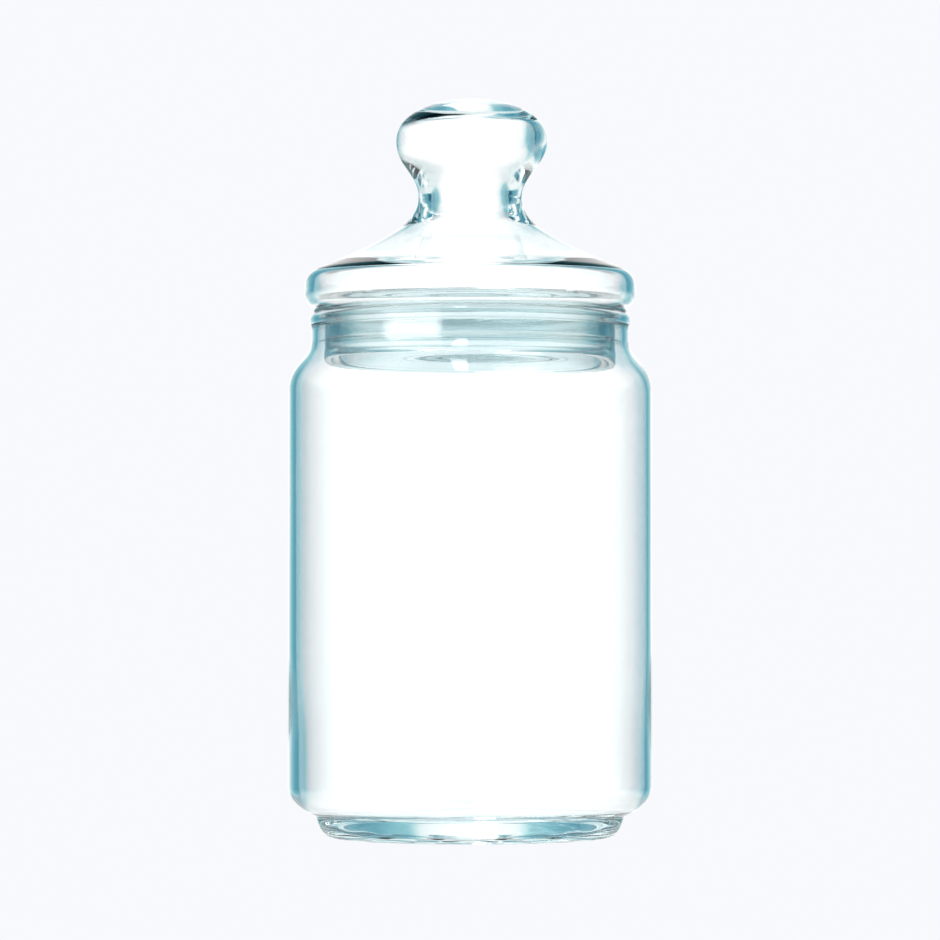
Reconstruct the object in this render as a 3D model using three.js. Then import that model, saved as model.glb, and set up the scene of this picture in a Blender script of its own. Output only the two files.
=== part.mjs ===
// A clear glass storage jar with a knobbed glass lid and a plastic seal ring.
// Millimetres, +Z up. The origin is at the centre of the foot, on the surface it stands on.
// Every piece is an outline turned round the +Z axis; a point is (radius, height).

import * as THREE from 'three';

// ---------------------------------------------------------------- driving dimensions

// How finely the turned pieces are faceted
const ROUND_FACETS = 40;
const CURVE_FACETS = 6;
const CORNER_FACETS = 3;

// How far a curve's handles reach towards its corner: a quarter circle, and a fuller round
const ROUND_REACH = 0.55;
const FULL_REACH = 0.6;

// Jar body: heights from the foot upwards, then radii and walls
const FOOT_HEIGHT = 6.4;
const HEEL_HEIGHT = 9.1;
const STRAIGHT_HEIGHT = 113;
const SHOULDER_HEIGHT = 14.7;
const NECK_HEIGHT = 3.8;
const BEAD_HEIGHT = 4.2;
const BODY_RADIUS = 52.5;
const BODY_WALL = 1.9;
const HEEL_WALL = 2.7;
const HEEL_SLANT = 2;
const WALL_TAPER_HEIGHT = 45;
const SHOULDER_TOP_REACH = 0.34;
const SHOULDER_FOOT_REACH = 0.58;
const NECK_BORE_RADIUS = 44.2;
const NECK_WALL = 1.7;
const BEAD_OVERHANG = 0.6;
const BEAD_ROUNDING = 1.3;
const MOUTH_ROUNDING = 0.7;
const FOOT_INSET = 7.9;
const FOOT_STEP = 0.6;
const FOOT_ROUNDING = 6.6;
const FOOT_LAND = 3;
const PUNT_HEIGHT = 1.8;
const FLOOR_THICKNESS = 6.2;
const FLOOR_CORNER_RADIUS = 8;
const FLOOR_CORNER_HEIGHT = 7.6;

// Seal ring: a flange that the lid presses on the mouth, a skirt round the plug, two lips
const FLANGE_THICKNESS = 1.1;
const FLANGE_SETBACK = 1.2;
const FLANGE_CHAMFER = 0.3;
const FLANGE_FILLET = 0.4;
const SKIRT_WALL = 1.5;
const SKIRT_DEPTH = 14.9;
const LIP_REACH = 1.9;
const LIP_THICKNESS = 0.6;
const LIP_DROP = 0.7;
const LIP_DEPTHS = [4.2, 9.1];
const TOE_BEAD = 0.5;
const TOE_HEIGHT = 2.2;

// Lid, blown hollow: the plug in the mouth, the rim over it, the cone, the neck and the knob
const PLUG_SHORTER_THAN_SKIRT = 0.4;
const PLUG_WALL = 2.4;
const PLUG_EDGE_ROUNDING = 1.05;
const PLUG_ROOT_ROUNDING = 2.2;
const RIM_OVERHANG = 1.4;
const RIM_HEIGHT = 11.3;
const RIM_WIDEST_HEIGHT = 5.6;
const RIM_TOP_INSET = 3.4;
const RIM_UNDER_INSET = 4;
const RIM_FLOOR = 1.4;
const RIM_WALL = 2.5;
const CONE_HEIGHT = 20.8;
const CONE_FOOT_SLOPE = 23;
const CONE_FOOT_REACH = 17.9;
const CONE_NECK_REACH = 8.5;
const CONE_FOOT_WALL = 2.2;
const CONE_MIDDLE_WALL = 2.4;
const LID_NECK_RADIUS = 15;
const LID_NECK_WALL = 3.7;
const KNOB_RADIUS = 22;
const KNOB_WALL = 1.8;
const KNOB_UNDER_HEIGHT = 16.5;
const KNOB_UNDER_REACH = 0.42;
const KNOB_CROWN_HEIGHT = 12.1;
const CROWN_WALL = 4.8;

// Clearances between the pieces
const LIP_CLEARANCE = 0.3;
const PLUG_CLEARANCE = 0.2;
const SEAT_GAP = 0.3;

// ---------------------------------------------------------------- sizes that follow

const footRadius = BODY_RADIUS - FOOT_INSET;
const heelTop = FOOT_HEIGHT + HEEL_HEIGHT;
const straightTop = heelTop + STRAIGHT_HEIGHT;
const shoulderTop = straightTop + SHOULDER_HEIGHT;
const neckTop = shoulderTop + NECK_HEIGHT;
const mouthTop = neckTop + BEAD_HEIGHT;
const neckRadius = NECK_BORE_RADIUS + NECK_WALL;
const beadRadius = neckRadius + BEAD_OVERHANG;
const floorHeight = PUNT_HEIGHT + FLOOR_THICKNESS;

const lipRadius = NECK_BORE_RADIUS - LIP_CLEARANCE;
const skirtRadius = lipRadius - LIP_REACH;
const skirtBore = skirtRadius - SKIRT_WALL;
const flangeRadius = beadRadius - FLANGE_SETBACK;
const flangeBottom = mouthTop + SEAT_GAP;
const flangeTop = flangeBottom + FLANGE_THICKNESS;
const skirtBottom = flangeTop - SKIRT_DEPTH;

const rimRadius = beadRadius + RIM_OVERHANG;
const rimBottom = flangeTop + SEAT_GAP;
const rimWidest = rimBottom + RIM_WIDEST_HEIGHT;
const rimTop = rimBottom + RIM_HEIGHT;
const plugRadius = skirtBore - PLUG_CLEARANCE;
const plugBore = plugRadius - PLUG_WALL;
const plugBottom = skirtBottom + PLUG_SHORTER_THAN_SKIRT;
const lidNeckHeight = rimTop + CONE_HEIGHT;
const knobWidest = lidNeckHeight + KNOB_UNDER_HEIGHT;
const lidTop = knobWidest + KNOB_CROWN_HEIGHT;

// ---------------------------------------------------------------- outline helpers

const point = (radius, height) => new THREE.Vector2(radius, height);

// A curve round a corner point, which it leaves and reaches along straight lines.
function corner(from, apex, to, reach = ROUND_REACH) {
  return new THREE.CubicBezierCurve(from, from.clone().lerp(apex, reach), to.clone().lerp(apex, reach), to);
}

// An S-shaped curve that is upright at both ends. Each reach is a share of the curve's height.
function upright(from, to, fromReach, toReach) {
  const rise = to.y - from.y;
  const leave = point(from.x, from.y + rise * fromReach);
  const arrive = point(to.x, to.y - rise * toReach);
  return new THREE.CubicBezierCurve(from, leave, arrive, to);
}

// A wall that goes evenly from one thickness to another along its curve.
const even = (start, end) => (share) => THREE.MathUtils.lerp(start, end, share);

// The inner face of a wall: the outer curve moved towards the hollow, along its own normals, by the
// wall that wallAt gives for each share of the curve. It runs back from the curve's end to its start.
function insideOf(curve, wallAt, facets = CURVE_FACETS) {
  const points = curve.getPoints(facets).map((outer, step) => {
    const along = curve.getTangent(step / facets);
    const wall = wallAt(step / facets);
    return point(outer.x - along.y * wall, outer.y + along.x * wall);
  });
  return points.reverse();
}

// Joins stretches of outline into one, leaving out points that coincide.
function join(...stretches) {
  const smallest = 1e-4;
  const outline = [];
  for (const next of stretches.flat()) {
    const last = outline.at(-1);
    if (!last || last.distanceTo(next) > smallest) outline.push(next);
  }
  return outline;
}

// Turns an outline round the +Z axis. The outline runs upwards on the outside of the piece
// and downwards on the inside, and starts and ends on the axis or closes on itself.
function turned(name, outline, material) {
  const geometry = new THREE.LatheGeometry(outline, ROUND_FACETS);
  geometry.rotateX(Math.PI / 2);
  const mesh = new THREE.Mesh(geometry, material);
  mesh.name = name;
  return mesh;
}

// ---------------------------------------------------------------- materials

const clearGlass = new THREE.MeshStandardMaterial({
  color: 0xd8eef0,
  roughness: 0.04,
  metalness: 0,
  transparent: true,
  opacity: 0.35,
});

const sealPlastic = new THREE.MeshStandardMaterial({
  color: 0xb4d8dc,
  roughness: 0.35,
  metalness: 0,
  transparent: true,
  opacity: 0.8,
});

// ---------------------------------------------------------------- jar body

// The shoulder's outside, from the top of the straight wall up to the neck.
const shoulderCurve = upright(
  point(BODY_RADIUS, straightTop), point(neckRadius, shoulderTop), SHOULDER_FOOT_REACH, SHOULDER_TOP_REACH,
);

// The punt: a shallow hollow under the floor, its height falling with the square of the radius.
function punt(edgeRadius) {
  const shares = Array.from({ length: CORNER_FACETS + 1 }, (_, step) => step / CORNER_FACETS);
  return shares.map((share) => point(edgeRadius * share, PUNT_HEIGHT * (1 - share * share)));
}

// Outside of the jar, from the middle of its underside up to the top of the mouth.
function jarOutside() {
  const landRadius = footRadius - FOOT_ROUNDING;
  const foot = corner(point(landRadius, 0), point(footRadius, 0), point(footRadius, FOOT_HEIGHT));
  const heel = corner(
    point(footRadius + FOOT_STEP, FOOT_HEIGHT), point(BODY_RADIUS, FOOT_HEIGHT + HEEL_SLANT),
    point(BODY_RADIUS, heelTop),
  );
  const beadWidest = mouthTop - BEAD_ROUNDING;
  const beadUnder = upright(
    point(neckRadius, neckTop), point(beadRadius, beadWidest), ROUND_REACH, ROUND_REACH,
  );
  const beadTop = corner(
    point(beadRadius, beadWidest), point(beadRadius, mouthTop), point(beadRadius - BEAD_ROUNDING, mouthTop),
  );
  return join(
    punt(landRadius - FOOT_LAND), foot.getPoints(CORNER_FACETS + 1), heel.getPoints(CURVE_FACETS),
    shoulderCurve.getPoints(CURVE_FACETS), beadUnder.getPoints(CORNER_FACETS),
    beadTop.getPoints(CORNER_FACETS),
  );
}

// Inside of the jar, from the top of the mouth down to the middle of the floor.
function jarInside() {
  const wallRadius = BODY_RADIUS - BODY_WALL;
  const wallFoot = point(BODY_RADIUS - HEEL_WALL, floorHeight + FLOOR_CORNER_HEIGHT);
  const mouth = corner(
    point(NECK_BORE_RADIUS + MOUTH_ROUNDING, mouthTop), point(NECK_BORE_RADIUS, mouthTop),
    point(NECK_BORE_RADIUS, mouthTop - MOUTH_ROUNDING),
  );
  const taper = upright(
    point(wallRadius, heelTop + WALL_TAPER_HEIGHT), wallFoot, ROUND_REACH, ROUND_REACH,
  );
  const floorCorner = corner(
    wallFoot, point(wallFoot.x, floorHeight), point(wallFoot.x - FLOOR_CORNER_RADIUS, floorHeight),
  );
  return join(
    mouth.getPoints(CORNER_FACETS), insideOf(shoulderCurve, even(BODY_WALL, NECK_WALL)),
    taper.getPoints(CORNER_FACETS), floorCorner.getPoints(CURVE_FACETS), [point(0, floorHeight)],
  );
}

function makeJarBody() {
  return turned('jar_body', join(jarOutside(), jarInside()), clearGlass);
}

// ---------------------------------------------------------------- seal ring

// One soft lip on the outside of the skirt, pointing a little downwards.
function lipOutline(height) {
  const tipHeight = height - LIP_DROP;
  return [
    point(skirtRadius, height - LIP_THICKNESS),
    point(lipRadius, tipHeight - LIP_THICKNESS / 2),
    point(lipRadius, tipHeight),
    point(skirtRadius, height + LIP_THICKNESS / 2),
  ];
}

// The ring's section, anticlockwise from the bottom of its bore.
function makeSealRing() {
  const toeRadius = skirtRadius + TOE_BEAD;
  const lips = LIP_DEPTHS.map((depth) => lipOutline(flangeTop - depth)).reverse();
  const section = join(
    [point(skirtBore, skirtBottom), point(toeRadius - TOE_BEAD, skirtBottom)],
    [point(toeRadius, skirtBottom + TOE_BEAD), point(skirtRadius, skirtBottom + TOE_HEIGHT)],
    ...lips,
    [point(skirtRadius, flangeBottom - FLANGE_FILLET), point(skirtRadius + FLANGE_FILLET, flangeBottom)],
    [point(flangeRadius - FLANGE_CHAMFER, flangeBottom), point(flangeRadius, flangeBottom + FLANGE_CHAMFER)],
    [point(flangeRadius, flangeTop - FLANGE_CHAMFER), point(flangeRadius - FLANGE_CHAMFER, flangeTop)],
    [point(skirtBore, flangeTop), point(skirtBore, skirtBottom)],
  );
  return turned('seal_ring', section, sealPlastic);
}

// ---------------------------------------------------------------- lid

// The outside of the lid above its plug, in the order that it is met going upwards.
const slope = THREE.MathUtils.degToRad(CONE_FOOT_SLOPE);
const coneFoot = point(rimRadius - RIM_TOP_INSET, rimTop);
const rimUnderCurve = corner(
  point(rimRadius - RIM_UNDER_INSET, rimBottom), point(rimRadius, rimBottom), point(rimRadius, rimWidest),
);
const rimOverCurve = corner(
  point(rimRadius, rimWidest), point(rimRadius, rimTop - RIM_TOP_INSET * Math.tan(slope)), coneFoot,
);
const coneCurve = new THREE.CubicBezierCurve(
  coneFoot,
  point(coneFoot.x - CONE_FOOT_REACH * Math.cos(slope), rimTop + CONE_FOOT_REACH * Math.sin(slope)),
  point(LID_NECK_RADIUS, lidNeckHeight - CONE_NECK_REACH),
  point(LID_NECK_RADIUS, lidNeckHeight),
);
const knobUnderCurve = upright(
  point(LID_NECK_RADIUS, lidNeckHeight), point(KNOB_RADIUS, knobWidest), KNOB_UNDER_REACH, KNOB_UNDER_REACH,
);
const crownCurve = corner(
  point(KNOB_RADIUS, knobWidest), point(KNOB_RADIUS, lidTop), point(0, lidTop), FULL_REACH,
);

// The cone's wall: it goes evenly from foot to neck, less half a sine wave that thins the middle.
function coneWall(share) {
  const ends = even(CONE_FOOT_WALL, LID_NECK_WALL);
  const thinning = ends(0.5) - CONE_MIDDLE_WALL;
  return ends(share) - thinning * Math.sin(Math.PI * share);
}

// Inside of the lid, from the middle of the knob's crown down to the foot of the plug.
function lidInside() {
  const crown = insideOf(crownCurve, even(KNOB_WALL, CROWN_WALL));
  const top = point(0, lidTop - CROWN_WALL);
  const knobUnder = insideOf(knobUnderCurve, even(LID_NECK_WALL, KNOB_WALL));
  const cone = insideOf(coneCurve, coneWall, CURVE_FACETS + 2);
  const rimOver = insideOf(rimOverCurve, even(RIM_WALL, CONE_FOOT_WALL), CORNER_FACETS);
  const rimUnder = insideOf(rimUnderCurve, even(RIM_FLOOR, RIM_WALL), CORNER_FACETS);
  const rimFloor = rimBottom + RIM_FLOOR;
  const plugRoot = corner(
    point(plugBore + PLUG_ROOT_ROUNDING, rimFloor), point(plugBore, rimFloor),
    point(plugBore, rimFloor - PLUG_ROOT_ROUNDING),
  );
  return join([top], crown, knobUnder, cone, rimOver, rimUnder, plugRoot.getPoints(CORNER_FACETS));
}

// The plug's rounded lower edge, from its bore to its outside, and its outside up to the rim.
function plugOutline() {
  const inner = corner(
    point(plugBore, plugBottom + PLUG_EDGE_ROUNDING), point(plugBore, plugBottom),
    point(plugBore + PLUG_EDGE_ROUNDING, plugBottom),
  );
  const outer = corner(
    point(plugRadius - PLUG_EDGE_ROUNDING, plugBottom), point(plugRadius, plugBottom),
    point(plugRadius, plugBottom + PLUG_EDGE_ROUNDING),
  );
  const root = [point(plugRadius, rimBottom)];
  return join(inner.getPoints(CORNER_FACETS), outer.getPoints(CORNER_FACETS), root);
}

// Outside of the lid, from the plug's root round the rim and up the cone to the knob's crown.
function lidOutside() {
  return join(
    rimUnderCurve.getPoints(CORNER_FACETS + 1), rimOverCurve.getPoints(CORNER_FACETS + 1),
    coneCurve.getPoints(CURVE_FACETS + 2), knobUnderCurve.getPoints(CURVE_FACETS),
    crownCurve.getPoints(CURVE_FACETS),
  );
}

function makeLid() {
  return turned('lid', join(lidInside(), plugOutline(), lidOutside()), clearGlass);
}

// ---------------------------------------------------------------- the assembly

const jar = new THREE.Group();
jar.add(makeJarBody(), makeSealRing(), makeLid());

export default jar;
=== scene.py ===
"""Looks of a clear glass storage jar with a knobbed glass lid and a plastic seal ring.

Every piece is an outline turned round the jar's axis. An outline is worked out in millimetres as
radius and height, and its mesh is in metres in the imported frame: +Z up, the foot's middle at the origin.
"""

import logging
import math
from dataclasses import dataclass
from enum import Enum

import bpy
import numpy as np
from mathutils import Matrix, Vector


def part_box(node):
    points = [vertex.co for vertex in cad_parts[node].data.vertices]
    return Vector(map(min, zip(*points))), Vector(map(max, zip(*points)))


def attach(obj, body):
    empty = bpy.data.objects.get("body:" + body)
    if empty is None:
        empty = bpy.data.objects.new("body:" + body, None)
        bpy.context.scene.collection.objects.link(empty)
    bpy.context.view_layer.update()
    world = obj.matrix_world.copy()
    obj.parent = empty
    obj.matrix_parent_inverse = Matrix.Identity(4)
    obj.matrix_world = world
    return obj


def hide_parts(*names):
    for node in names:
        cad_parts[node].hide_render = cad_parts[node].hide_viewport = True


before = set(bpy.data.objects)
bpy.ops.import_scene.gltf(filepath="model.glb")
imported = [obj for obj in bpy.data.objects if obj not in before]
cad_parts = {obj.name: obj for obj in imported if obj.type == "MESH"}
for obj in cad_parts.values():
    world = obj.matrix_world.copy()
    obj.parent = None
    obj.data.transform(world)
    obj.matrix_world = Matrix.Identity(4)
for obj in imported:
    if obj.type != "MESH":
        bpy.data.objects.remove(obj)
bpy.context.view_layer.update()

LOG = logging.getLogger("storage_jar")
MM = 0.001
FACETS = 256  # steps of a full turn
CREASE_DEGREES = 38  # an edge that bends more than this stays sharp
ON_AXIS = 1e-6  # a radius below this counts as on the axis
WAVES = ((2, 0.4, 31.0), (3, 2.1, 17.0), (5, 4.4, 11.0))  # turns, start and pitch of each cosine

Point = tuple[float, float] | np.ndarray
Triple = tuple[float, float, float]
ScreenColour = tuple[int, int, int]
Levels = tuple[tuple[float, float], ...]


class Body(Enum):
    """The bodies that move against each other."""

    JAR = "jar"
    SEAL = "seal"
    LID = "lid"


class Slot(Enum):
    """The record's material slots."""

    JAR_GLASS = "jar_glass"
    LID_GLASS = "lid_glass"
    SEAL_PLASTIC = "seal_plastic"


# ------------------------------------------------------------------------------------ outlines


@dataclass(frozen=True)
class Outline:
    """A row of outline points that is turned round the axis.

    Args:
        points: radius and height of each point, in millimetres.
        drift: how far the middle of each point's ring lies off the axis, along +X.
        ripple: how far each point's ring strays from a true circle.
    """

    points: np.ndarray
    drift: np.ndarray
    ripple: np.ndarray

    @classmethod
    def of(cls, points: np.ndarray, drift: float = 0.0, ripple: float = 0.0) -> "Outline":
        """Makes an outline of points whose drift and ripple are the same all along."""
        rows = np.atleast_2d(np.asarray(points, float))
        return cls(rows, np.full(len(rows), drift), np.full(len(rows), ripple))

    def reversed(self) -> "Outline":
        """The same points in the opposite order."""
        return Outline(self.points[::-1], self.drift[::-1], self.ripple[::-1])

    def part(self, first: int, last: int) -> "Outline":
        """The points from first up to, and without, last."""
        return Outline(self.points[first:last], self.drift[first:last], self.ripple[first:last])

    def moved_in(self, wall: np.ndarray) -> "Outline":
        """The inner face of a wall of this outline: each point moved by its wall along its normal.

        The normal is the direction of travel turned a quarter to the left, which points to the hollow
        for an outline that runs upwards on the outside.

        Args:
            wall: the wall's thickness at each point.

        Returns:
            The inner face, in the same order of points.
        """
        travel = np.gradient(self.points, axis=0)
        travel /= np.linalg.norm(travel, axis=1, keepdims=True)
        left = np.stack([-travel[:, 1], travel[:, 0]], axis=1)
        return Outline(self.points + left * wall[:, None], self.drift, self.ripple)

    def uneven(self, drift: np.ndarray | float, ripple: np.ndarray | float) -> "Outline":
        """The same points with this drift and ripple."""
        size = len(self.points)
        return Outline(self.points, np.broadcast_to(drift, size), np.broadcast_to(ripple, size))


def join(*stretches: Outline) -> Outline:
    """Joins stretches end to end, leaving out points that lie on the one before.

    Args:
        *stretches: the outlines, in order.

    Returns:
        One outline.
    """
    points = np.concatenate([s.points for s in stretches])
    drift = np.concatenate([s.drift for s in stretches])
    ripple = np.concatenate([s.ripple for s in stretches])
    smallest = 1e-3
    apart = np.linalg.norm(np.diff(points, axis=0), axis=1) > smallest
    keep = np.concatenate([[True], apart])
    return Outline(points[keep], drift[keep], ripple[keep])


def bend(start: Point, leave: Point, arrive: Point, end: Point, steps: int = 24) -> Outline:
    """A cubic curve: (1-t)^3 start + 3(1-t)^2 t leave + 3(1-t)t^2 arrive + t^3 end, for t from 0 to 1.

    Args:
        start: radius and height of the first point.
        leave: the handle that the curve leaves towards.
        arrive: the handle that it arrives from.
        end: radius and height of the last point.
        steps: how many straight steps the curve takes.

    Returns:
        The curve as an outline.
    """
    t = np.linspace(0.0, 1.0, steps + 1)[:, None]
    a, b, c, d = (np.asarray(p, float) for p in (start, leave, arrive, end))
    s = 1.0 - t
    return Outline.of(s**3 * a + 3 * s**2 * t * b + 3 * s * t**2 * c + t**3 * d)


def corner(start: Point, apex: Point, end: Point, reach: float = 0.55, steps: int = 12) -> Outline:
    """A curve round a corner, which it leaves and reaches along straight lines to the apex.

    Args:
        start: the first point.
        apex: the corner's own point, which the curve bulges towards.
        end: the last point.
        reach: the share of the way to the apex that each handle goes; 0.55 gives a round corner.
        steps: how many straight steps the curve takes.

    Returns:
        The curve as an outline.
    """
    a, m, b = (np.asarray(p, float) for p in (start, apex, end))
    return bend(a, a + (m - a) * reach, b + (m - b) * reach, b, steps)


def blend(start: float, end: float, count: int) -> np.ndarray:
    """Numbers that go smoothly from start to end, by 3t^2 - 2t^3."""
    t = np.linspace(0.0, 1.0, count)
    return start + (end - start) * (3 * t**2 - 2 * t**3)


def guarded(outline: Outline) -> Outline:
    """Adds a point close to each end of every long straight stretch, so that smooth shading stays flat.

    Args:
        outline: the outline to guard.

    Returns:
        The same outline with the new points put in.
    """
    longest, margin = 2.5, 0.12
    rows = np.column_stack([outline.points, outline.drift, outline.ripple])
    length = np.linalg.norm(np.diff(outline.points, axis=0), axis=1)
    long = np.flatnonzero(length > longest)
    share = margin / length[long]
    part = np.stack([share, 1.0 - share], axis=1).ravel()
    before = np.repeat(long, 2)
    added = rows[before] + (rows[before + 1] - rows[before]) * part[:, None]
    rows = np.insert(rows, before + 1, added, axis=0)
    return Outline(rows[:, :2], rows[:, 2], rows[:, 3])


def rings(outline: Outline, facets: int) -> np.ndarray:
    """Turns each outline point round the axis into a ring of points.

    The point at angle a of a ring is (d + (r + w) cos a, (r + w) sin a, z), with r and z the outline's
    radius and height, d its drift and w a waviness of three cosines, w = ripple / 3 times the sum of
    cos(k a + q + z / p), with k turns, q a start and p a pitch for each cosine.

    Args:
        outline: the outline, without its points on the axis.
        facets: how many steps the full turn has.

    Returns:
        An array of rings by facets by three coordinates, in millimetres.
    """
    angle = np.linspace(0.0, 2 * np.pi, facets, endpoint=False)[None, :]
    radius, height = outline.points[:, :1], outline.points[:, 1:]
    wave = sum(np.cos(k * angle + q + height / p) for k, q, p in WAVES) / len(WAVES)
    radius = radius + outline.ripple[:, None] * wave
    across = outline.drift[:, None] + radius * np.cos(angle)
    along = radius * np.sin(angle)
    return np.stack([across, along, np.broadcast_to(height, radius.shape)], axis=-1)


def turned(name: str, outline: Outline, facets: int = FACETS) -> bpy.types.Object:
    """Turns an outline round the axis into a closed mesh with its faces pointing out.

    Each ring is joined to the next by quads. Where the outline starts and ends on the axis, a fan of
    triangles closes each end; elsewhere the last ring is joined to the first.

    Args:
        name: the piece's name.
        outline: it keeps the solid on its left, and either starts and ends on the axis or comes back
            to where it started.
        facets: how many steps the full turn has.

    Returns:
        The new object, at the origin.
    """
    outline = guarded(outline)
    on_axis = outline.points[0, 0] < ON_AXIS
    poles = outline.points[[0, -1], 1]
    if on_axis:
        outline = outline.part(1, -1)
    elif np.allclose(outline.points[0], outline.points[-1]):
        outline = outline.part(0, -1)
    rows = len(outline.points)
    vertices = rings(outline, facets).reshape(-1, 3)
    index = np.arange(rows * facets).reshape(rows, facets)
    beside = np.roll(index, -1, axis=1)
    above, above_beside = np.roll(index, -1, axis=0), np.roll(beside, -1, axis=0)
    last = rows - 1 if on_axis else rows
    quads = np.stack([index, beside, above_beside, above], axis=-1)[:last].reshape(-1, 4)
    fans = []
    if on_axis:
        first_pole, last_pole = len(vertices), len(vertices) + 1
        vertices = np.vstack([vertices, [[0, 0, poles[0]], [0, 0, poles[1]]]])
        first = np.stack([np.full(facets, first_pole), beside[0], index[0]], axis=-1)
        final = np.stack([np.full(facets, last_pole), index[-1], beside[-1]], axis=-1)
        fans = np.vstack([first, final]).tolist()
    mesh = bpy.data.meshes.new(name)
    mesh.from_pydata((vertices * MM).tolist(), [], quads.tolist() + fans)
    mesh.update()
    mesh.polygons.foreach_set("use_smooth", np.ones(len(mesh.polygons), bool))
    mesh.set_sharp_from_angle(angle=math.radians(CREASE_DEGREES))
    piece = bpy.data.objects.new(name, mesh)
    bpy.context.scene.collection.objects.link(piece)
    return piece


# -------------------------------------------------------------------------------- shader maths


class Value:
    """A number or colour inside a shader. The operators add the nodes that work the result out."""

    def __init__(self, graph: "Graph", socket: bpy.types.NodeSocket) -> None:
        """Wraps an output socket of a graph."""
        self.graph = graph
        self.socket = socket

    def _math(self, operation: str, *inputs: "Value | float") -> "Value":
        """Adds one Math node."""
        return self.graph.node("ShaderNodeMath", {"operation": operation}, dict(enumerate(inputs)))

    def __add__(self, other: "Value | float") -> "Value":
        """self + other."""
        return self._math("ADD", self, other)

    __radd__ = __add__

    def __mul__(self, other: "Value | float") -> "Value":
        """self * other."""
        return self._math("MULTIPLY", self, other)

    __rmul__ = __mul__

    def __sub__(self, other: "Value | float") -> "Value":
        """self - other."""
        return self._math("SUBTRACT", self, other)

    def __rsub__(self, other: float) -> "Value":
        """other - self."""
        return self._math("SUBTRACT", other, self)

    def __truediv__(self, other: "Value | float") -> "Value":
        """self / other."""
        return self._math("DIVIDE", self, other)

    def parts(self, count: int) -> list["Value"]:
        """The first outputs of the node that made this value."""
        return [Value(self.graph, self.socket.node.outputs[number]) for number in range(count)]

    def unsigned(self) -> "Value":
        """The value without its sign."""
        return self._math("ABSOLUTE", self)

    def at_least(self, lowest: float) -> "Value":
        """The larger of self and lowest."""
        return self._math("MAXIMUM", self, lowest)

    def bearing(self, other: "Value") -> "Value":
        """The angle whose tangent is self / other, in degrees from -180 to 180."""
        return self._math("ARCTAN2", self, other) * math.degrees(1.0)

    def ramp(self, stops: list[tuple[float, Triple]]) -> "Value":
        """Looks self up on a colour ramp of (position, linear colour) stops."""
        return self.graph.node("ShaderNodeValToRGB", {"stops": stops}, {0: self})

    def levels(self, stops: Levels) -> "Value":
        """Looks self up on a ramp of (position, grey level) stops."""
        return self.ramp([(position, (level,) * 3) for position, level in stops])

    def mixed(self, low: Triple, high: Triple) -> "Value":
        """Blends two colours by self.

        Args:
            low: the colour where self is 0.
            high: the colour where it is 1.

        Returns:
            The blended colour.
        """
        settings = {"data_type": "RGBA"}
        inputs = {0: self, 6: (*low, 1.0), 7: (*high, 1.0)}
        return self.graph.node("ShaderNodeMix", settings, inputs, output=2)


class Graph:
    """The node tree of a material or world."""

    def __init__(self, owner: bpy.types.Material | bpy.types.World) -> None:
        """Turns on the owner's nodes and empties its tree.

        Args:
            owner: the material or world.
        """
        owner.use_nodes = True
        self.tree = owner.node_tree
        self.tree.nodes.clear()

    def node(
        self, kind: str, settings: dict | None = None, inputs: dict | None = None, output: int | str = 0
    ) -> Value:
        """Adds a node.

        Args:
            kind: the node's type name.
            settings: its properties, and "stops" for a colour ramp's stops, set before the inputs.
            inputs: the values or links of its sockets, by name or number.
            output: the socket that the result wraps.

        Returns:
            The wrapped output.
        """
        made = self.tree.nodes.new(kind)
        for key, setting in (settings or {}).items():
            if key == "stops":
                self._set_stops(made.color_ramp, setting)
            else:
                setattr(made, key, setting)
        for key, given in (inputs or {}).items():
            if isinstance(given, Value):
                self.tree.links.new(given.socket, made.inputs[key])
            else:
                made.inputs[key].default_value = given
        return Value(self, made.outputs[output]) if len(made.outputs) else Value(self, None)

    @staticmethod
    def _set_stops(ramp: bpy.types.ColorRamp, stops: list[tuple[float, Triple]]) -> None:
        """Gives a colour ramp exactly these stops, of which it can hold 32.

        Args:
            ramp: the ramp.
            stops: position and linear colour of each stop, in order.
        """
        elements = ramp.elements
        while len(elements) > 1:
            elements.remove(elements[-1])
        elements[0].position = stops[0][0]
        elements[0].color = (*stops[0][1], 1.0)
        for position, colour in stops[1:]:
            elements.new(position).color = (*colour, 1.0)

    def noise(self, scale: float, detail: float = 2.0, stretch: Triple = (1, 1, 1)) -> Value:
        """Noise over the piece's own space.

        Args:
            scale: how many spots a metre holds.
            detail: how many finer layers are added.
            stretch: how much closer the spots lie along each axis.

        Returns:
            The noise, from 0 to 1.
        """
        place = self.node("ShaderNodeTexCoord", output="Object")
        placed = self.node("ShaderNodeMapping", inputs={"Vector": place, "Scale": stretch})
        return self.node("ShaderNodeTexNoise", inputs={"Vector": placed, "Scale": scale, "Detail": detail})


def linear(red: int, green: int, blue: int) -> Triple:
    """The linear colour of a screen colour whose parts go from 0 to 255."""
    shares = (part / 255 for part in (red, green, blue))
    return tuple(s / 12.92 if s <= 0.04045 else ((s + 0.055) / 1.055) ** 2.4 for s in shares)


# ------------------------------------------------------------------------------------- finishes


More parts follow.
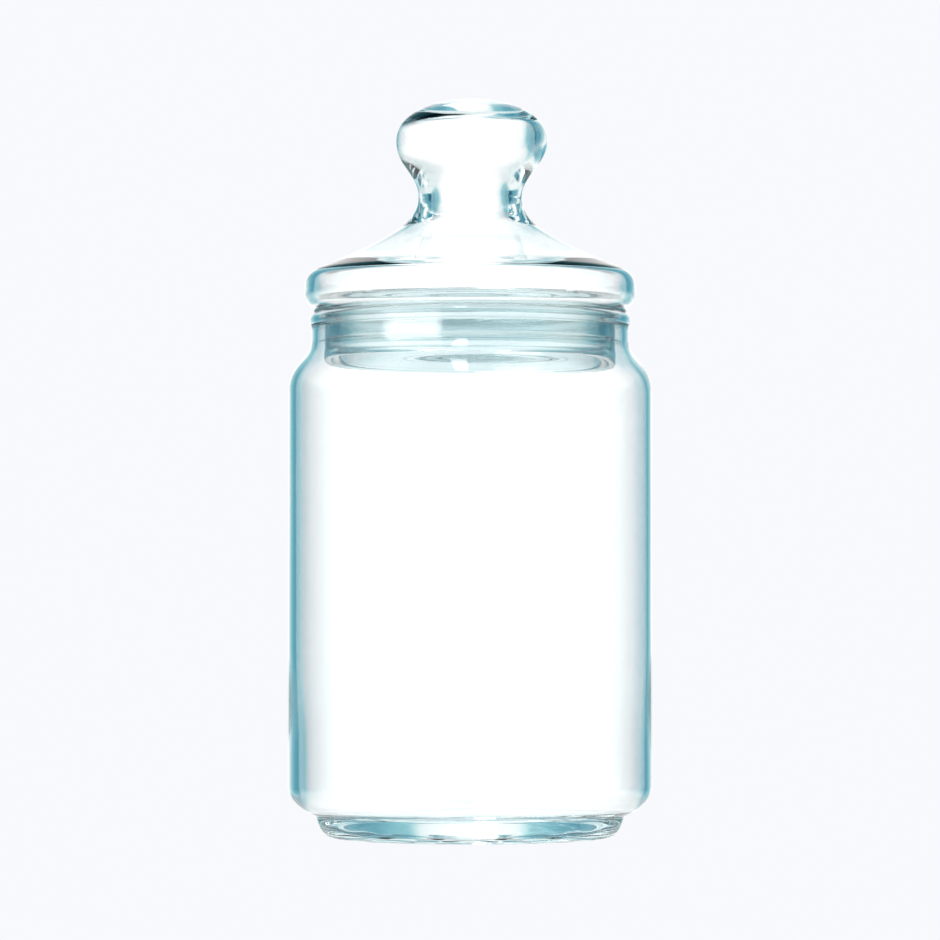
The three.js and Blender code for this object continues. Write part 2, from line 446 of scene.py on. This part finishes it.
@dataclass(frozen=True)
class Glass:
    """Clear polished glass, a little blue-green where it is thick, with a faint handmade wave.

    Args:
        name: the material's name.
        tint: colour of the absorption, which takes away what the tint lacks of white.
        absorption: how strongly it does so, per metre.
        wave: how deep the surface's wave is, in metres.
        wave_scale: waves per metre.
        wave_stretch: how close the waves lie along each axis.
        smear: the roughness that the wiping marks reach.
        smear_scale: wiping marks per metre.
        smear_stretch: how close they lie along each axis.
        cloud_scale: patches per metre of the slightly deeper base colour.
        deep: that deeper base colour.
        index: the refractive index.
    """

    name: str
    tint: Triple = (0.75, 0.93, 0.95)
    absorption: float = 6.0
    wave: float = 0.00002
    wave_scale: float = 55.0
    wave_stretch: Triple = (1.0, 1.0, 0.35)
    smear: float = 0.012
    smear_scale: float = 90.0
    smear_stretch: Triple = (1.0, 1.0, 0.25)
    cloud_scale: float = 24.0
    deep: Triple = (0.985, 1.0, 1.0)
    index: float = 1.5

    def material(self) -> bpy.types.Material:
        """Makes the material.

        Returns:
            Principled glass with absorption inside, a slight wave and a trace of wiping marks.
        """
        made = bpy.data.materials.new(self.name)
        graph = Graph(made)
        wave = graph.noise(self.wave_scale, 1.0, self.wave_stretch)
        bump = graph.node(
            "ShaderNodeBump", inputs={"Strength": 1.0, "Distance": self.wave, "Height": wave}, output="Normal"
        )
        smear = graph.noise(self.smear_scale, 3.0, self.smear_stretch)
        cloud = graph.noise(self.cloud_scale)
        surface = graph.node(
            "ShaderNodeBsdfPrincipled",
            inputs={
                "Base Color": cloud.mixed(self.deep, (1.0, 1.0, 1.0)),
                "Roughness": smear * self.smear,
                "IOR": self.index,
                "Transmission Weight": 1.0,
                "Normal": bump,
            },
        )
        inside = graph.node(
            "ShaderNodeVolumeAbsorption", inputs={"Color": (*self.tint, 1.0), "Density": self.absorption}
        )
        graph.node("ShaderNodeOutputMaterial", inputs={"Surface": surface, "Volume": inside})
        return made


@dataclass(frozen=True)
class SoftPlastic:
    """Nearly clear, lightly frosted soft plastic with fine moulding rings.

    Args:
        name: the material's name.
        colour: its base colour.
        clearness: the share of light that goes through.
        roughness: how matt it is.
        rings_stretch: how close the rings' noise lies along each axis: flat discs, one above the other.
        rings_scale: the scale of that noise.
        rings_depth: how deep the rings are, in metres.
        cloud_scale: cloudy patches per metre.
        cloud_roughness: how far the patches change the roughness.
        rings_share: the rings' share in the colour's change; the clouds have the rest.
        deep: the darkest share of the base colour.
        pale: the lightest.
        index: the refractive index.
    """

    name: str
    colour: Triple = (0.85, 0.95, 0.965)
    clearness: float = 0.93
    roughness: float = 0.07
    rings_stretch: Triple = (0.2, 0.2, 42.0)
    rings_scale: float = 14.0
    rings_depth: float = 0.00012
    cloud_scale: float = 60.0
    cloud_roughness: float = 0.05
    rings_share: float = 0.7
    deep: float = 0.93
    pale: float = 1.04
    index: float = 1.45

    def material(self) -> bpy.types.Material:
        """Makes the material.

        Returns:
            A translucent plastic whose colour and shine change a little from ring to ring.
        """
        made = bpy.data.materials.new(self.name)
        graph = Graph(made)
        rings_noise = graph.noise(self.rings_scale, 3.0, self.rings_stretch)
        cloud = graph.noise(self.cloud_scale, 3.0)
        deep = tuple(part * self.deep for part in self.colour)
        pale = tuple(min(1.0, part * self.pale) for part in self.colour)
        change = rings_noise * self.rings_share + cloud * (1.0 - self.rings_share)
        bump = graph.node(
            "ShaderNodeBump",
            inputs={"Strength": 0.5, "Distance": self.rings_depth, "Height": rings_noise},
            output="Normal",
        )
        surface = graph.node(
            "ShaderNodeBsdfPrincipled",
            inputs={
                "Base Color": change.mixed(deep, pale),
                "Roughness": self.roughness + (cloud - 0.5) * self.cloud_roughness,
                "IOR": self.index,
                "Transmission Weight": self.clearness,
                "Normal": bump,
            },
        )
        graph.node("ShaderNodeOutputMaterial", inputs={"Surface": surface})
        return made


# --------------------------------------------------------------------------------- sub-assemblies


@dataclass
class Piece:
    """What every piece has.

    Args:
        node: the CAD node that it stands for.
        body: the body that it rides on.
        slot: the piece's material slot in the record; not used.
    """

    node: str
    body: Body
    slot: Slot

    def outline(self) -> Outline:
        """The piece's outline."""
        raise NotImplementedError

    def build(self, finish: Glass | SoftPlastic) -> bpy.types.Object:
        """Builds the piece in place of its CAD node and dresses it.

        Args:
            finish: what it is made of.

        Returns:
            The finished object.
        """
        made = turned(f"{self.node}_fine", self.outline())
        made.data.materials.append(finish.material())
        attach(made, self.body.value)
        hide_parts(self.node)
        return made


@dataclass
class JarBody(Piece):
    """The jar: punt, foot, heel, straight wall, shoulder, neck and mouth bead. Millimetres.

    Args:
        radius: radius of the straight wall, outside.
        mouth: height of the mouth.
        wall: thickness of the wall at its middle height.
        heel_wall: thickness of the wall at the heel.
        inner_drift: how far the hollow lies off the axis, along +X.
        inner_ripple: how far the hollow strays from a true circle.
        neck_radius: radius of the neck, outside.
        neck_wall: thickness of the neck.
        bead: how far the mouth's bead stands proud of the neck.
        bead_height: height of the bead.
        neck_height: height of the neck under the bead.
        shoulder_height: height of the shoulder.
        heel_height: height of the heel's curve.
        foot_height: height of the foot.
        foot_inset: how far the foot's top lies inside the straight wall.
        foot_step: the step from the foot out to the heel.
        land_outer: outer radius of the land that the jar stands on.
        land_inner: inner radius of the land.
        punt: depth of the hollow under the foot.
        floor: height of the floor's upper face.
        flat: radius of the floor's flat part.
    """

    radius: float
    mouth: float
    wall: float = 1.75
    heel_wall: float = 2.5
    inner_drift: float = 0.35
    inner_ripple: float = 0.05
    neck_radius: float = 45.9
    neck_wall: float = 1.7
    bead: float = 0.6
    bead_height: float = 4.2
    neck_height: float = 3.8
    shoulder_height: float = 14.7
    heel_height: float = 9.1
    foot_height: float = 6.4
    foot_inset: float = 7.9
    foot_step: float = 0.6
    land_outer: float = 38.0
    land_inner: float = 34.9
    punt: float = 1.8
    floor: float = 8.0
    flat: float = 42.0

    def underside(self) -> Outline:
        """The punt from its middle to the land, with rings h cos(2 pi r / pitch) left by the mould.

        Returns:
            The underside as an outline.
        """
        punt = bend((0, self.punt), (21, self.punt), (29.6, 0.7), (self.land_inner, 0), 56)
        height, pitch = 0.03, 5.5
        radius = punt.points[:, 0]
        fade = np.clip((self.land_inner - radius) / pitch, 0.0, 1.0)
        ring = height * fade * np.cos(2 * np.pi * radius / pitch)
        return Outline.of(punt.points + np.stack([np.zeros_like(ring), ring], axis=1))

    def outside(self) -> tuple[Outline, Outline, Outline]:
        """The outside in three stretches: from the punt to the heel, the shoulder, and the bead.

        Returns:
            The low part with the underside, the shoulder, and the bead.
        """
        foot_radius = self.radius - self.foot_inset
        foot_edge = (foot_radius, self.foot_height)
        heel_start = (foot_radius + self.foot_step, self.foot_height + 0.2)
        neck_top = self.mouth - self.bead_height
        shoulder_top = neck_top - self.neck_height
        straight_top = shoulder_top - self.shoulder_height
        widest = self.neck_radius + self.bead
        bead_side = self.mouth - 1.8
        low = join(
            self.underside(),
            bend((self.land_outer, 0), (42.6, 0), (foot_radius - 1.35, 2.2), foot_edge, 24),
            bend(
                heel_start, (self.radius - 3.6, self.foot_height + 1.9),
                (self.radius, self.foot_height + 4.4), (self.radius, self.foot_height + self.heel_height),
            ),
        )
        shoulder = bend(
            (self.radius, straight_top), (self.radius, straight_top + 8.5),
            (self.neck_radius, shoulder_top - 5.0), (self.neck_radius, shoulder_top), 36,
        )
        bead = join(
            bend(
                (self.neck_radius, neck_top), (self.neck_radius, neck_top + 1.0),
                (widest, neck_top + 1.3), (widest, bead_side), 12,
            ),
            corner((widest, bead_side), (widest, self.mouth), (self.neck_radius - 0.7, self.mouth)),
        )
        return low, shoulder, bead

    def inside(self, shoulder: Outline) -> Outline:
        """The inside, from the mouth down to the middle of the floor.

        The hollow's drift and ripple fade out towards the neck, so that the neck stays round.

        Args:
            shoulder: the outside of the shoulder, which the inside follows at the wall's thickness.

        Returns:
            The inside as one outline.
        """
        rounding, fade_end = 0.7, self.mouth - 8.0
        bore = self.neck_radius - self.neck_wall
        apex = (bore, self.mouth)
        mouth = corner((bore + rounding, self.mouth), apex, (bore, self.mouth - rounding), steps=8)
        follows = shoulder.moved_in(blend(self.wall, self.neck_wall, len(shoulder.points))).reversed()
        top = self.radius - self.wall
        foot = self.radius - self.heel_wall
        wall = bend((top, 56), (top, 44), (foot, 36), (foot, self.floor + 16), 24)
        sweep = bend(
            (foot, self.floor + 7.6), (foot, self.floor + 3.4),
            (46.6, self.floor), (self.flat, self.floor), 32,
        )
        body = join(follows, wall, sweep)
        fade = np.clip((fade_end - body.points[:, 1]) / self.shoulder_height, 0.0, 1.0)
        body = body.uneven(self.inner_drift * fade, self.inner_ripple * fade)
        return join(mouth, body, self.floor_top())

    def floor_top(self) -> Outline:
        """The floor's upper face inwards to its middle, with rings h (1 - cos(2 pi r / pitch)) / 2.

        Returns:
            The floor's upper face as an outline.
        """
        height, pitch = 0.05, 6.5
        radius = np.linspace(self.flat, 0.0, 64)
        ring = height * (1.0 - np.cos(2 * np.pi * radius / pitch)) / 2
        return Outline.of(np.stack([radius, self.floor + ring], axis=1))

    def outline(self) -> Outline:
        """Outside and inside together."""
        low, shoulder, bead = self.outside()
        return join(low, shoulder, bead, self.inside(shoulder))


@dataclass
class SealRing(Piece):
    """The seal: a skirt round the plug, a flange on the mouth, two soft lips and a toe. Millimetres.

    Args:
        bottom: height of the skirt's lower edge.
        top: height of the flange's upper face.
        flange: radius of the flange.
        bore: radius of the hole for the plug.
        skirt: radius of the skirt, outside.
        lip_radius: radius of the lips' edges.
        lip_depths: how far each lip lies under the top.
        flange_height: thickness of the flange.
    """

    bottom: float
    top: float
    flange: float
    bore: float = 40.5
    skirt: float = 42.0
    lip_radius: float = 43.9
    lip_depths: tuple[float, float] = (4.2, 9.1)
    flange_height: float = 1.1

    def lip(self, height: float) -> Outline:
        """One lip, going upwards on the outside.

        Args:
            height: height of the lip's root.

        Returns:
            The lip as an outline.
        """
        return join(
            bend((self.skirt, height - 1.1), (self.skirt + 0.9, height - 0.9),
                 (self.lip_radius - 0.6, height - 1.1), (self.lip_radius, height - 1.0), 6),
            bend((self.lip_radius, height - 0.7), (self.lip_radius - 0.6, height - 0.6),
                 (self.skirt + 0.4, height - 0.3), (self.skirt, height + 0.5), 6),
        )

    def outline(self) -> Outline:
        """The whole section, back to where it starts.

        Returns:
            The section as a closed outline.
        """
        under = self.top - self.flange_height
        rounding = 0.4
        start = (self.bore, self.bottom + rounding)
        lips = [self.lip(self.top - depth) for depth in reversed(self.lip_depths)]
        return join(
            corner(start, (self.bore, self.bottom), (self.bore + rounding, self.bottom), steps=5),
            bend((self.skirt - 0.1, self.bottom), (self.skirt + 0.6, self.bottom),
                 (self.skirt + 0.5, self.bottom + 1.0), (self.skirt, self.bottom + 2.2), 10),
            *lips,
            corner((self.skirt, under - 0.5), (self.skirt, under), (self.skirt + 0.5, under), steps=5),
            corner((self.flange - rounding, under), (self.flange, under),
                   (self.flange, under + rounding), steps=5),
            corner((self.flange, self.top - rounding), (self.flange, self.top),
                   (self.flange - rounding, self.top), steps=5),
            corner((self.bore + 0.3, self.top), (self.bore, self.top), (self.bore, self.top - 0.3), steps=4),
            Outline.of([start]),
        )


@dataclass
class Lid(Piece):
    """The lid, blown hollow: plug, rim, cone, neck and knob. Millimetres.

    Args:
        bottom: height of the plug's lower edge.
        top: height of the knob's crown.
        rim: radius of the rim.
        seat: height of the rim's underside, which rests on the seal.
        plug: radius of the plug, outside.
        plug_bore: radius of the plug's hollow.
        neck: radius of the neck at its narrowest, outside.
        neck_bore: radius of its hollow.
        neck_rise: how far the neck's narrowest place lies above the seat.
        foot_rise: how far the cone's foot lies above the seat.
        foot_inset: how far the cone's foot lies inside the rim.
        knob: radius of the knob, outside.
        knob_bore: radius of its hollow.
        knob_rise: how far the knob's widest place lies above the neck.
        crown_wall: thickness of the knob's crown.
        knob_drift: how far the knob's hollow lies off the axis, along +X.
        knob_lean: how far the knob's outside lies off the axis, along +X.
        cone_walls: the cone's wall at its foot, above the foot and below the neck.
    """

    bottom: float
    top: float
    rim: float
    seat: float = 152.9
    plug: float = 40.3
    plug_bore: float = 37.9
    neck: float = 15.0
    neck_bore: float = 11.3
    neck_rise: float = 32.1
    foot_rise: float = 11.3
    foot_inset: float = 3.4
    knob: float = 22.0
    knob_bore: float = 20.2
    knob_rise: float = 16.5
    crown_wall: float = 4.8
    knob_drift: float = -0.6
    knob_lean: float = 0.5
    cone_walls: Triple = (2.2, 2.8, 2.0)

    def cone_foot(self) -> tuple[float, float]:
        """Radius and height of the cone's foot."""
        return self.rim - self.foot_inset, self.seat + self.foot_rise

    def outside(self) -> Outline:
        """From the plug's root round the rim and up the cone to the knob's crown.

        Returns:
            The outside as an outline.
        """
        widest = self.seat + 5.6
        foot = self.cone_foot()
        neck = self.seat + self.neck_rise
        knob = neck + self.knob_rise
        lower = join(
            bend((self.rim - 4, self.seat), (self.rim - 1.3, self.seat), (self.rim, widest - 3.3),
                 (self.rim, widest), 16),
            bend((self.rim, widest), (self.rim, widest + 2.8), (self.rim - 1.3, foot[1] - 0.9), foot, 16),
            self.cone(),
        )
        upper = join(
            bend((self.neck, neck), (self.neck, neck + 7), (self.knob, knob - 7), (self.knob, knob), 28),
            bend((self.knob, knob), (self.knob, knob + 7.3), (13.4, self.top), (0, self.top), 32),
        )
        fade = np.clip((upper.points[:, 1] - neck) / (knob - neck), 0.0, 1.0)
        return join(lower, upper.uneven(self.knob_lean * fade, 0.0))

    def cone(self) -> Outline:
        """The cone's outside, from its foot up to the neck.

        Returns:
            The cone as an outline.
        """
        foot = self.cone_foot()
        neck = self.seat + self.neck_rise
        return bend(foot, (28, foot[1] + 6.9), (self.neck, neck - 8.5), (self.neck, neck), 63)

    def inside(self) -> Outline:
        """From the middle of the knob's crown down to the plug's bore.

        Returns:
            The inside as an outline.
        """
        crown = self.top - self.crown_wall
        middle = self.seat + 48.1
        neck = self.seat + self.neck_rise
        rim = self.rim - 2.5
        rim_middle = self.seat + 5.3
        rim_floor = self.seat + 1.4
        knob = join(
            bend((0, crown), (16.5, crown), (self.knob_bore, middle + 7.0), (self.knob_bore, middle), 36),
            bend((self.knob_bore, middle), (self.knob_bore, middle - 6.8), (self.neck_bore, neck + 7.4),
                 (self.neck_bore, neck), 28),
        )
        fade = np.clip((knob.points[:, 1] - neck) / (middle - neck), 0.0, 1.0)
        knob = knob.uneven(self.knob_drift * fade, 0.05 * fade)
        at_foot, above_foot, below_neck = self.cone_walls
        walls = np.concatenate([
            blend(at_foot, above_foot, 9),
            blend(above_foot, below_neck, 33)[1:],
            blend(below_neck, self.neck - self.neck_bore, 24)[1:],
        ])
        follows = self.cone().moved_in(walls).reversed()
        foot = follows.points[-1]
        cone = join(
            follows,
            bend(foot, foot + (1.4, -0.6), (rim, rim_middle + 1.8), (rim, rim_middle), 14),
        )
        under = join(
            bend((rim, rim_middle), (rim, rim_middle - 1.9),
                 (rim - 1.2, rim_floor), (rim - 3.4, rim_floor), 14),
            bend((rim - 3.4, rim_floor), (self.plug_bore + 1.6, rim_floor), (self.plug_bore, rim_floor - 1.2),
                 (self.plug_bore, rim_floor - 3.6), 14),
        )
        return join(knob, cone.uneven(0.0, 0.04), under)

    def plug_edge(self) -> Outline:
        """The plug's rounded lower edge and its outside up to its root.

        Returns:
            The plug's edge and outside as an outline.
        """
        low, rounding = self.bottom, 1.0
        rise = [(self.plug, self.seat - 0.4), (self.plug + 0.15, self.seat - 0.1)]
        root = [*rise, (self.plug + 0.4, self.seat)]
        return join(
            corner((self.plug_bore, low + rounding), (self.plug_bore, low), (self.plug_bore + rounding, low)),
            corner((self.plug - rounding, low), (self.plug, low), (self.plug, low + rounding)),
            Outline.of(root),
        )

    def outline(self) -> Outline:
        """Inside, plug and outside together."""
        return join(self.inside(), self.plug_edge(), self.outside())


# ---------------------------------------------------------------------------------------- studio


@dataclass
class Studio:
    """A plain pale room: a lit wall behind, duller walls beside it, a window box and a strip overhead.

    Args:
        backdrop: screen colour that the camera sees behind the jar and on the floor.
        walls: the room's brightness by bearing from the middle of the back wall, in degrees, alike to
            the left and to the right.
        tones: screen colour of each brightness, from black to white.
        ground: how much of the ground shows, by the sine of the angle below the horizon.
        ground_level: the ground's brightness.
        window_across: the window's strength by the share of a full turn, from straight in front round
            by the left.
        window_up: its strength by the sine of the angle above the horizon.
        window_level: the brightness that it adds.
        strip_across: the strip's strength from 0, the left, to 1, the right.
        strip_up: its strength by the sine of the angle above the horizon.
        strip_level: the brightness that it adds.
        bounces: how often light may meet the glass.
        glossy_bounces: how often it may be reflected.
        floor_half: half the length of the floor's side, in metres.
        floor_drop: how far the floor lies under the foot, in metres.
        shade_tone: screen colour of the shade under the foot.
        shade_radius: radius of the shade, in metres.
        shade_edge: width of its soft edge, in metres.
        lens: focal length, in millimetres.
        sensor: width of the sensor, in millimetres.
        nearest: the closest that the camera sees, in metres.
        camera_place: the camera's place, in metres.
        camera_pitch: the camera's turn up from straight down, in degrees.
    """

    backdrop: ScreenColour = (248, 249, 253)
    walls: Levels = (
        (0, 1.35), (5, 1.25), (9, 1.08), (12, 0.97), (14, 0.82), (16, 0.62), (22, 0.55), (26, 0.42),
        (34, 0.38), (41, 0.42), (46, 0.3), (52, 0.16), (62, 0.12), (74, 0.5),
        (90, 0.9), (115, 0.9), (130, 0.6), (150, 0.35), (180, 0.35),
    )
    tones: tuple[tuple[float, ScreenColour], ...] = (
        (0.0, (0, 34, 54)), (0.12, (6, 66, 88)), (0.25, (40, 110, 136)), (0.4, (86, 157, 175)),
        (0.55, (126, 187, 200)), (0.7, (162, 212, 217)), (0.82, (202, 232, 234)), (0.92, (238, 248, 248)),
        (1.0, (255, 255, 255)),
    )
    ground: Levels = ((0.10, 0.0), (0.22, 1.0))
    ground_level: float = 0.95
    window_across: Levels = ((0.055, 0.0), (0.07, 1.0), (0.175, 1.0), (0.19, 0.0))
    window_up: Levels = ((0.03, 0.0), (0.05, 1.0), (0.45, 1.0), (0.5, 0.0))
    window_level: float = 4.0
    strip_across: Levels = ((0.42, 0.0), (0.43, 1.0), (0.48, 1.0), (0.49, 0.0))
    strip_up: Levels = ((0.6, 0.0), (0.65, 1.0), (0.93, 1.0), (0.96, 0.0))
    strip_level: float = 6.0
    bounces: int = 36
    glossy_bounces: int = 12
    floor_half: float = 6.0
    floor_drop: float = 0.0002
    shade_tone: ScreenColour = (176, 214, 223)
    shade_radius: float = 0.036
    shade_edge: float = 0.004
    lens: float = 173.7
    sensor: float = 36.0
    nearest: float = 0.01
    camera_place: Triple = (0.0, -1.312, 0.0656)
    camera_pitch: float = 91.773

    def build(self) -> None:
        """Makes the room, the floor, the lights and the camera."""
        self.room()
        self.floor()
        self.camera()
        scene = bpy.context.scene
        scene.view_settings.view_transform = "Standard"
        scene.cycles.max_bounces = self.bounces
        scene.cycles.transmission_bounces = self.bounces
        scene.cycles.glossy_bounces = self.glossy_bounces

    def room(self) -> None:
        """The light that comes from all round: the walls by bearing, the ground, the window, the strip."""
        half_turn, full_turn = 180.0, 360.0
        world = bpy.data.worlds.new("pale_room")
        bpy.context.scene.world = world
        graph = Graph(world)
        place = graph.node("ShaderNodeTexCoord", output="Generated")
        across, along, up = graph.node("ShaderNodeSeparateXYZ", inputs={0: place}).parts(3)
        bearing = across.bearing(along)
        walls = tuple((degrees / half_turn, level) for degrees, level in self.walls)
        wall = (bearing.unsigned() / half_turn).levels(walls)
        low = (up * -1.0).levels(self.ground)
        window = ((bearing + half_turn) / full_turn).levels(self.window_across) * up.levels(self.window_up)
        strip = (across * 0.5 + 0.5).levels(self.strip_across) * up.levels(self.strip_up)
        bright = wall + (self.ground_level - wall) * low
        bright = bright + window * self.window_level + strip * self.strip_level
        colour = bright.ramp([(level, linear(*tone)) for level, tone in self.tones])
        strength = (bright - 1.0).at_least(0.0) + 1.0
        light = graph.node("ShaderNodeBackground", inputs={"Color": colour, "Strength": strength})
        seen = graph.node("ShaderNodeBackground", inputs={"Color": (*linear(*self.backdrop), 1.0)})
        straight = graph.node("ShaderNodeLightPath", output="Is Camera Ray")
        mixed = graph.node("ShaderNodeMixShader", inputs={0: straight, 1: light, 2: seen})
        graph.node("ShaderNodeOutputWorld", inputs={"Surface": mixed})

    def floor(self) -> None:
        """A wide pale floor that runs into the backdrop without a line.

        The camera sees it plain. All other light goes through it, but for the shade under the foot.
        """
        half = self.floor_half
        mesh = bpy.data.meshes.new("floor")
        sides = [(-half, -half, 0), (half, -half, 0), (half, half, 0), (-half, half, 0)]
        mesh.from_pydata(sides, [], [(0, 1, 2, 3)])
        floor = bpy.data.objects.new("floor", mesh)
        floor.location.z = -self.floor_drop
        bpy.context.scene.collection.objects.link(floor)
        made = bpy.data.materials.new("pale_floor")
        graph = Graph(made)
        pale = linear(*self.backdrop)
        place = graph.node("ShaderNodeTexCoord", output="Object")
        out = graph.node("ShaderNodeVectorMath", {"operation": "LENGTH"}, {0: place}, output="Value")
        open_air = graph.node("ShaderNodeBsdfTransparent")
        shade = graph.node("ShaderNodeEmission", inputs={"Color": (*linear(*self.shade_tone), 1.0)})
        beyond = (out - self.shade_radius) * (1.0 / self.shade_edge)
        clear = graph.node("ShaderNodeMixShader", inputs={0: beyond, 1: shade, 2: open_air})
        plain = graph.node("ShaderNodeEmission", inputs={"Color": (*pale, 1.0)})
        straight = graph.node("ShaderNodeLightPath", output="Is Camera Ray")
        mixed = graph.node("ShaderNodeMixShader", inputs={0: straight, 1: clear, 2: plain})
        graph.node("ShaderNodeOutputMaterial", inputs={"Surface": mixed})
        floor.data.materials.append(made)

    def camera(self) -> None:
        """A long lens a little above the middle of the jar's lower half, looking slightly up."""
        data = bpy.data.cameras.new("camera")
        data.sensor_width = self.sensor
        data.lens = self.lens
        data.clip_start = self.nearest
        camera = bpy.data.objects.new("camera", data)
        camera.location = self.camera_place
        camera.rotation_euler = (math.radians(self.camera_pitch), 0.0, 0.0)
        bpy.context.scene.collection.objects.link(camera)
        bpy.context.scene.camera = camera


def upper_corner(node: str) -> np.ndarray:
    """The highest corner of a CAD node's box, in millimetres."""
    return np.array(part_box(node)[1]) / MM


def lower_corner(node: str) -> np.ndarray:
    """The lowest corner of a CAD node's box, in millimetres."""
    return np.array(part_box(node)[0]) / MM


def main() -> None:
    """Builds the pieces in order, then the studio, and notes the sizes."""
    logging.basicConfig(level=logging.INFO, format="%(name)s: %(message)s")
    jar_top, seal_top, lid_top = (upper_corner(n) for n in ("jar_body", "seal_ring", "lid"))
    seal_low, lid_low = lower_corner("seal_ring"), lower_corner("lid")
    glass = Glass("clear_glass")
    pieces = [
        (JarBody("jar_body", Body.JAR, Slot.JAR_GLASS, radius=jar_top[0], mouth=jar_top[2]), glass),
        (
            SealRing("seal_ring", Body.SEAL, Slot.SEAL_PLASTIC, bottom=seal_low[2], top=seal_top[2],
                     flange=seal_top[0]),
            SoftPlastic("milky_soft_plastic"),
        ),
        (Lid("lid", Body.LID, Slot.LID_GLASS, bottom=lid_low[2], top=lid_top[2], rim=lid_top[0]), glass),
    ]
    for piece, finish in pieces:
        made = piece.build(finish)
        LOG.info("%s: %d faces, rides on %s", made.name, len(made.data.polygons), piece.body.value)
    Studio().build()


if __name__ == "__main__":
    main()
